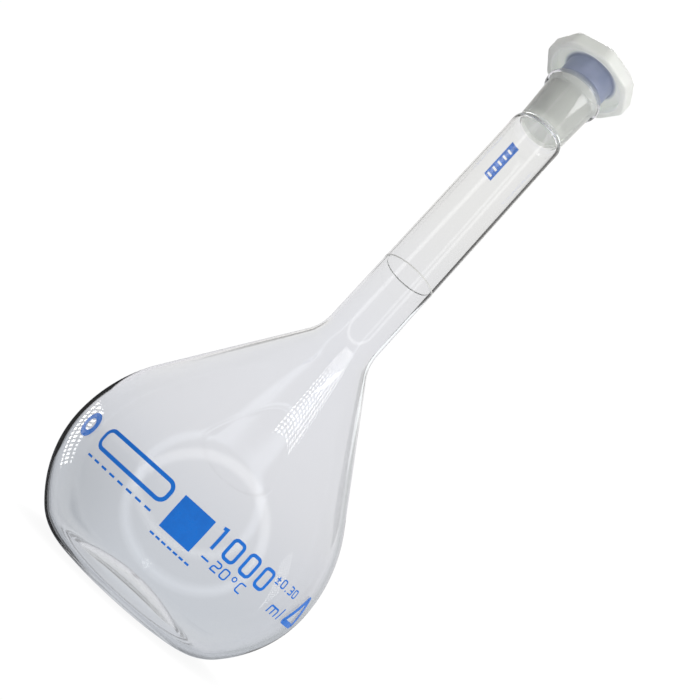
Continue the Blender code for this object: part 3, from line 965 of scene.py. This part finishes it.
def make_rim_cards():
    """Cards close behind the flask on the right, for the lines in the bulb's right rim."""
    edge = facing_front(0.125, ((0.086, -0.010), (0.108, -0.010), (0.082, 0.110), (0.062, 0.092)))
    make_card("flag_edge", edge, 0.30, glossy=True, through=False)
    low = facing_front(0.125, ((0.116, -0.060), (0.210, -0.060), (0.136, 0.177), (0.072, 0.177)))
    make_card("flag_rim", low, 0.55, (0.92, 0.965, 1.0), deep=0.6)
    high = facing_front(0.125, ((0.072, 0.177), (0.136, 0.177), (0.125, 0.222), (0.063, 0.222)))
    make_card("reflector_rim", high, 1.15, (0.95, 0.98, 1.0))


def make_softbox(name, corners, strength, grid=None):
    make_card(name, corners, strength, grid=grid, glossy=True, through=False)


def make_softboxes():
    """Softboxes that show only in reflections: two above, one to each side, a small one by the mouth, and
    a wide one above and behind."""
    across = (1.0, 0.21, 0.0)
    along = (-0.14, 1.0, 0.0)
    top = level(0.50, ((0.022, -0.185), (0.172, -0.153), (0.163, -0.083), (0.013, -0.115)))
    make_softbox("softbox_top", top, 8.0, ((across, 0.0220), (along, 0.0042)))
    rear = level(0.50, ((0.013, -0.115), (0.163, -0.083), (0.157, -0.030), (0.007, -0.062)))
    make_softbox("softbox_rear", rear, 8.0, ((across, 0.0220), (along, 0.0018)))
    right = [(0.40, -0.135, 0.121), (0.40, -0.094, 0.192), (0.40, -0.020, 0.040), (0.40, -0.016, -0.085)]
    make_softbox("softbox_right", right, 4.0, (((0.0, 0.5, -0.87), 0.0110), ((0.0, 0.87, 0.5), 0.014)))
    left = [(-0.30, 0.085, -0.085), (-0.30, 0.200, -0.110), (-0.30, 0.250, 0.085), (-0.30, 0.080, 0.075)]
    make_softbox("softbox_left", left, 5.5, (((0.0, 0.14, 1.0), 0.0125), ((0.0, 1.0, -0.14), 0.060)))
    mouth = [(0.035, -0.096, 0.348), (0.062, -0.071, 0.326), (0.090, -0.045, 0.350), (0.062, -0.071, 0.362)]
    make_softbox("softbox_mouth", mouth, 7.0)
    back = [(-0.26, 0.118, 0.779), (0.26, 0.118, 0.779), (0.26, 0.332, 0.671), (-0.26, 0.332, 0.671)]
    make_softbox("softbox_back", back, 9.0)


def make_lights():
    """Two soft lights for the plastic; the glass is lit by what it reflects."""
    for name, place, power, size in (
        ("soft_right", (0.55, -0.35, 0.15), 0.2, 0.6),
        ("soft_top", (0.10, -0.10, 0.95), 0.2, 0.7),
    ):
        data = bpy.data.lights.new(name, "AREA")
        data.energy = power
        data.size = size
        lamp = bpy.data.objects.new(name, data)
        lamp.location = place
        aim = Vector((0.0, 0.0, 0.25)) - Vector(place)
        lamp.rotation_euler = aim.to_track_quat("-Z", "Y").to_euler()
        show_to(lamp, camera=False, glossy=False, transmission=False)
        bpy.context.collection.objects.link(lamp)


def make_floor():
    """Pale floor with a faint contact shadow. The glass does not see it, and for the plastic it is brighter
    on the lit side."""
    made = emission("pale_floor", 1.0)
    graph = Graph(made.node_tree)
    shade = graph.node("ShaderNodeAmbientOcclusion")
    shade.inputs["Distance"].default_value = 0.020
    seen = graph.node("ShaderNodeLightPath").outputs["Is Camera Ray"]
    contact = graph.smooth(shade.outputs["AO"], 0.1, 0.8, 0.94, WHITE_LEVEL)
    place = graph.node("ShaderNodeTexCoord").outputs["Object"]
    lit_side = graph.vector("DOT_PRODUCT", place, heading(48.0, 0.0), out="Value")
    grey = graph.smooth(lit_side, -0.4, 0.4, 0.32, 1.05)
    strength = graph.math("MULTIPLY_ADD", graph.math("SUBTRACT", contact, grey), seen, grey)
    graph.put(made.node_tree.nodes["Emission"].inputs["Strength"], strength)
    mesh = bpy.data.meshes.new("floor")
    builder = bmesh.new()
    bmesh.ops.create_circle(builder, cap_ends=True, segments=96, radius=1.6)
    builder.to_mesh(mesh)
    builder.free()
    floor = bpy.data.objects.new("floor", mesh)
    floor.location.z = -0.05 * MM
    show_to(floor, glossy=False, transmission=False)
    mesh.materials.append(made)
    bpy.context.collection.objects.link(floor)


def make_world():
    """White backdrop for the camera, a soft grey studio for the glass, and a soft key for the plastic."""
    world = bpy.data.worlds.new("studio")
    bpy.context.scene.world = world
    world.use_nodes = True
    tree = world.node_tree
    tree.nodes.clear()
    graph = Graph(tree)
    way = graph.node("ShaderNodeTexCoord").outputs["Generated"]
    split = graph.node("ShaderNodeSeparateXYZ")
    graph.put(split.inputs[0], way)
    side = split.outputs["X"]
    height = split.outputs["Z"]

    light = graph.smooth(height, -0.5, 0.9, 0.58, 0.70)
    back = graph.vector("DOT_PRODUCT", way, heading(180.0, 14.0), out="Value")
    backdrop = graph.smooth(back, 0.45, 0.88)
    shade = graph.smooth(height, -0.10, 0.16, 0.07, 0.22)
    low = graph.smooth(height, -0.08, 0.06, 1.0, 0.0)
    corner = graph.math("MULTIPLY", low, graph.smooth(side, -0.14, 0.0, 0.13, 0.0))
    shade = graph.math("SUBTRACT", shade, corner)
    light = graph.math("MULTIPLY_ADD", backdrop, shade, light)
    around = graph.vector("DOT_PRODUCT", way, heading(6.8, -10.4), out="Value")
    halo = graph.band(around, (0.500, 0.565), (0.61, 0.68))
    light = graph.math("MULTIPLY_ADD", halo, 1.3, light)
    cool = graph.smooth(height, -0.15, 0.12)
    warm = graph.smooth(height, 0.20, 0.42)
    air = graph.mix(cool, (0.90, 0.935, 1.0, 1.0), (0.97, 0.965, 1.0, 1.0))
    air = graph.mix(warm, air, (1.0, 0.985, 0.965, 1.0))

    path = graph.node("ShaderNodeLightPath")
    key = graph.vector("DOT_PRODUCT", way, heading(48.0, 10.0), out="Value")
    soft = graph.smooth(key, -0.2, 0.9, 0.10, 0.88)
    soft = graph.math("ADD", soft, graph.smooth(height, -0.9, 0.0, 0.45, 0.0))
    enclosed = graph.math("GREATER_THAN", path.outputs["Transmission Depth"], 0.5)
    soft = graph.math("MULTIPLY", soft, graph.math("MULTIPLY_ADD", enclosed, 0.55, 1.0))
    matt = graph.math("GREATER_THAN", path.outputs["Diffuse Depth"], 0.5)
    strength = graph.math("MULTIPLY_ADD", graph.math("SUBTRACT", soft, light), matt, light)
    air = graph.mix(matt, air, (1.0, 1.0, 0.985, 1.0))
    seen = path.outputs["Is Camera Ray"]
    strength = graph.math("MULTIPLY_ADD", graph.math("SUBTRACT", WHITE_LEVEL, strength), seen, strength)
    background = graph.node("ShaderNodeBackground")
    graph.put(background.inputs["Color"], graph.mix(seen, air, (1.0, 1.0, 1.0, 1.0)))
    graph.put(background.inputs["Strength"], strength)
    out = graph.node("ShaderNodeOutputWorld")
    graph.put(out.inputs["Surface"], background.outputs[0])


def make_camera():
    """Held at the angle of the picture: rolled over, low and close to the bulb."""
    data = bpy.data.cameras.new("camera")
    data.sensor_width = 36.0
    data.lens = 50.97
    camera = bpy.data.objects.new("camera", data)
    right = Vector((0.7398, -0.1569, 0.6542)).normalized()
    ahead = Vector((0.0067, 0.9741, 0.2261)).normalized()
    up = right.cross(ahead).normalized()
    right = ahead.cross(up)
    turn = Matrix((right, up, -ahead)).transposed()
    place = Vector((0.0, -0.4254, 0.0419))
    camera.matrix_world = Matrix.Translation(place) @ turn.to_4x4()
    data.clip_start = 0.01
    data.clip_end = 50.0
    bpy.context.collection.objects.link(camera)
    bpy.context.scene.camera = camera


def main():
    blue = enamel("blue_enamel", (0.003, 0.175, 0.700), (0.002, 0.150, 0.620), 0.12)
    # The label's blue: the same enamel painted brighter and with a stronger glow, painted light for a print
    # seen through the neck.
    label_blue_painted_brighter = enamel("blue_enamel_painted_brighter_behind_glass", (0.020, 0.210, 0.820), (0.015, 0.180, 0.720), 0.28)
    white = enamel("white_enamel", (0.86, 0.86, 0.84), (0.78, 0.78, 0.76))
    make_glass(clear_glass(), ground_glass())
    make_square(blue)
    make_printed_marks(blue)
    make_fill_line(white)
    make_label(label_blue_painted_brighter)
    make_shell(natural_polypropylene())
    make_insert(blue_plastic())
    make_floor()
    make_flags()
    make_rim_cards()
    make_softboxes()
    make_lights()
    make_world()
    make_camera()
    bpy.context.scene.view_settings.view_transform = "Standard"
    bpy.context.view_layer.update()


main()
